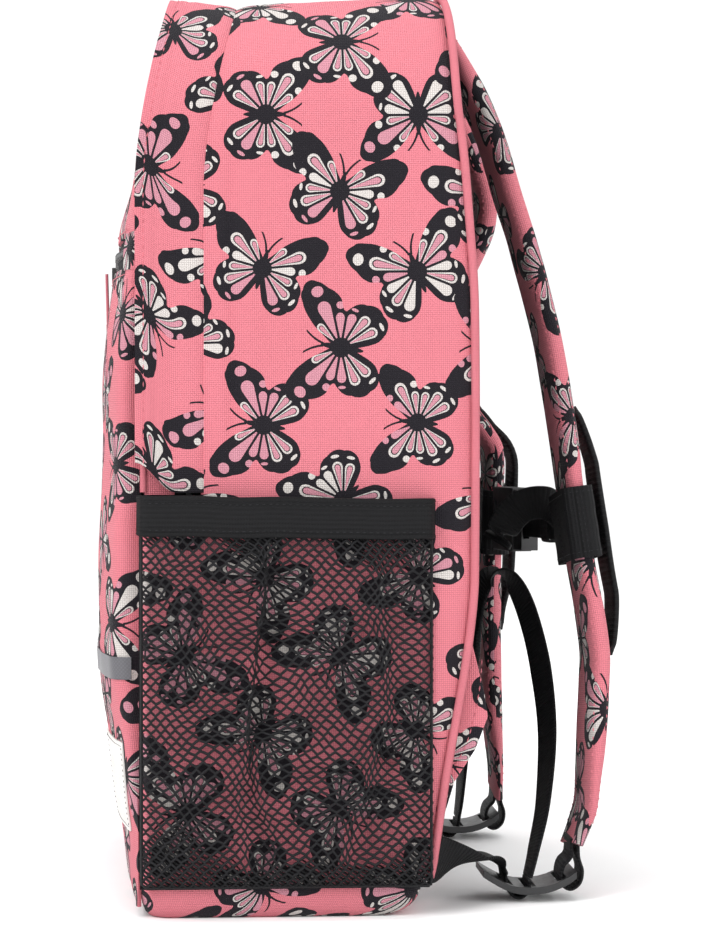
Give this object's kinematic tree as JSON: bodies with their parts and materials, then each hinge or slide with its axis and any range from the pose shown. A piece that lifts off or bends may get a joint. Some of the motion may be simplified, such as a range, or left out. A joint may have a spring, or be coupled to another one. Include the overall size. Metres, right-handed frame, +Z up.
{
  "type": "school backpack",
  "caption": "Small child's school backpack with a zipped lid, front pocket, net side pockets, padded shoulder straps and a buckled chest strap.",
  "frame": {"origin": "middle of the bag's flat base, on the surface that it stands on", "axes": "+Z up, -Y to the front pocket, +Y to the shoulder straps, +X to the wearer's right"},
  "size_m": [0.2832, 0.2171, 0.4069],
  "materials": {
    "printed_fabric": "woven polyester printed with butterflies on coral pink",
    "piping": "coral fabric-covered piping",
    "air_mesh": "padded spacer mesh",
    "foam": "closed-cell foam",
    "board": "stiff base board",
    "zip": "nylon coil zip on woven tape",
    "plastic": "moulded acetal, fine satin",
    "cord_pull": "cord pull",
    "reflective": "grey reflective tape",
    "label": "blank woven label",
    "net": "open hexagonal net",
    "elastic": "ribbed elastic",
    "webbing": "grosgrain polypropylene webbing"
  },
  "bodies": {
    "root": {"back_foam": "foam", "back_panel": "air_mesh", "back_piping": "piping", "base_board": "board", "blank_label": "label", "bottom_panel": "printed_fabric", "front_panel_lower": "printed_fabric", "ladder_lock_left": "plastic", "ladder_lock_right": "plastic", "lower_webbing_left": "webbing", "lower_webbing_right": "webbing", "mesh_pocket_left": "net", "mesh_pocket_right": "net", "pocket_binding_left": "elastic", "pocket_binding_right": "elastic", "pocket_panel_lower": "printed_fabric", "pocket_side_lower_left": "printed_fabric", "pocket_side_lower_right": "printed_fabric", "reflective_strip": "reflective", "shoulder_strap_left": "printed_fabric", "shoulder_strap_right": "printed_fabric", "side_panel_left": "printed_fabric", "side_panel_right": "printed_fabric", "side_strip_left": "printed_fabric", "side_strip_right": "printed_fabric", "storm_flap": "printed_fabric", "strap_end_loop_left": "webbing", "strap_end_loop_right": "webbing", "strap_rail_left": "webbing", "strap_rail_right": "webbing", "top_panel": "printed_fabric", "webbing_tail_left": "webbing", "webbing_tail_right": "webbing", "wing_tab_left": "printed_fabric", "wing_tab_right": "printed_fabric", "zip_half_body": "zip"},
    "lid": {"lid_panel": "printed_fabric", "lid_gusset": "printed_fabric", "zip_half_lid": "zip", "pocket_panel_upper": "printed_fabric", "pocket_top_band": "printed_fabric", "pocket_zip_tape": "zip", "pocket_side_upper_right": "printed_fabric", "pocket_side_upper_left": "printed_fabric"},
    "pocket_slider": {"pocket_slider": "plastic"},
    "pocket_pull": {"pocket_pull": "cord_pull"},
    "main_slider_right": {"main_slider_right": "plastic", "main_pull_right": "cord_pull"},
    "main_slider_left": {"main_slider_left": "plastic", "main_pull_left": "cord_pull"},
    "haul_loop": {"haul_loop": "webbing"},
    "chest_strap": {"strap_keeper_right": "elastic", "strap_keeper_left": "elastic", "chest_webbing_right": "webbing", "chest_webbing_left": "webbing", "buckle_socket": "plastic"},
    "buckle_plug": {"buckle_plug": "plastic"},
    "prong_upper": {"buckle_prong_upper": "plastic"},
    "prong_lower": {"buckle_prong_lower": "plastic"}
  },
  "joints": [
    {"name": "lid_fold", "type": "hinge", "parent": "root", "child": "lid", "pos_m": [0, -0.08, 0.17], "axis": [1, 0, 0], "range_deg": [0, 115]},
    {"name": "pocket_slider_run", "type": "slide", "parent": "lid", "child": "pocket_slider", "axis": [1, 0, 0], "range_m": [0, 0.15]},
    {"name": "pocket_pull_swing", "type": "hinge", "parent": "pocket_slider", "child": "pocket_pull", "pos_m": [-0.078, -0.0771, 0.268], "axis": [-1, 0, 0], "range_deg": [0, 120]},
    {"name": "main_slider_right_run", "type": "slide", "parent": "root", "child": "main_slider_right", "axis": [0, 0, -1], "range_m": [0, 0.095]},
    {"name": "main_slider_left_run", "type": "slide", "parent": "root", "child": "main_slider_left", "axis": [0, 0, -1], "range_m": [0, 0.095]},
    {"name": "haul_loop_swing", "type": "hinge", "parent": "root", "child": "haul_loop", "pos_m": [0, 0.06, 0.38025], "axis": [1, 0, 0], "range_deg": [-60, 60]},
    {"name": "chest_strap_slide", "type": "slide", "parent": "root", "child": "chest_strap", "axis": [0, -0.058, 0.9983], "range_m": [0, 0.008]},
    {"name": "buckle_release", "type": "slide", "parent": "chest_strap", "child": "buckle_plug", "axis": [0.981, 0.1942, 0], "range_m": [0, 0.021]},
    {"name": "prong_upper_flex", "type": "hinge", "parent": "buckle_plug", "child": "prong_upper", "pos_m": [-0.01207, 0.11161, 0.1658], "axis": [0.1942, -0.981, 0], "range_deg": [0, 6], "stiffness_Nm_per_rad": 0.02},
    {"name": "prong_lower_flex", "type": "hinge", "parent": "buckle_plug", "child": "prong_lower", "pos_m": [-0.01207, 0.11161, 0.1442], "axis": [-0.1942, 0.981, 0], "range_deg": [0, 6], "stiffness_Nm_per_rad": 0.02}
  ],
  "couplings": [
    {"joint": "prong_lower_flex", "follows": "prong_upper_flex", "ratio": 1}
  ]
}
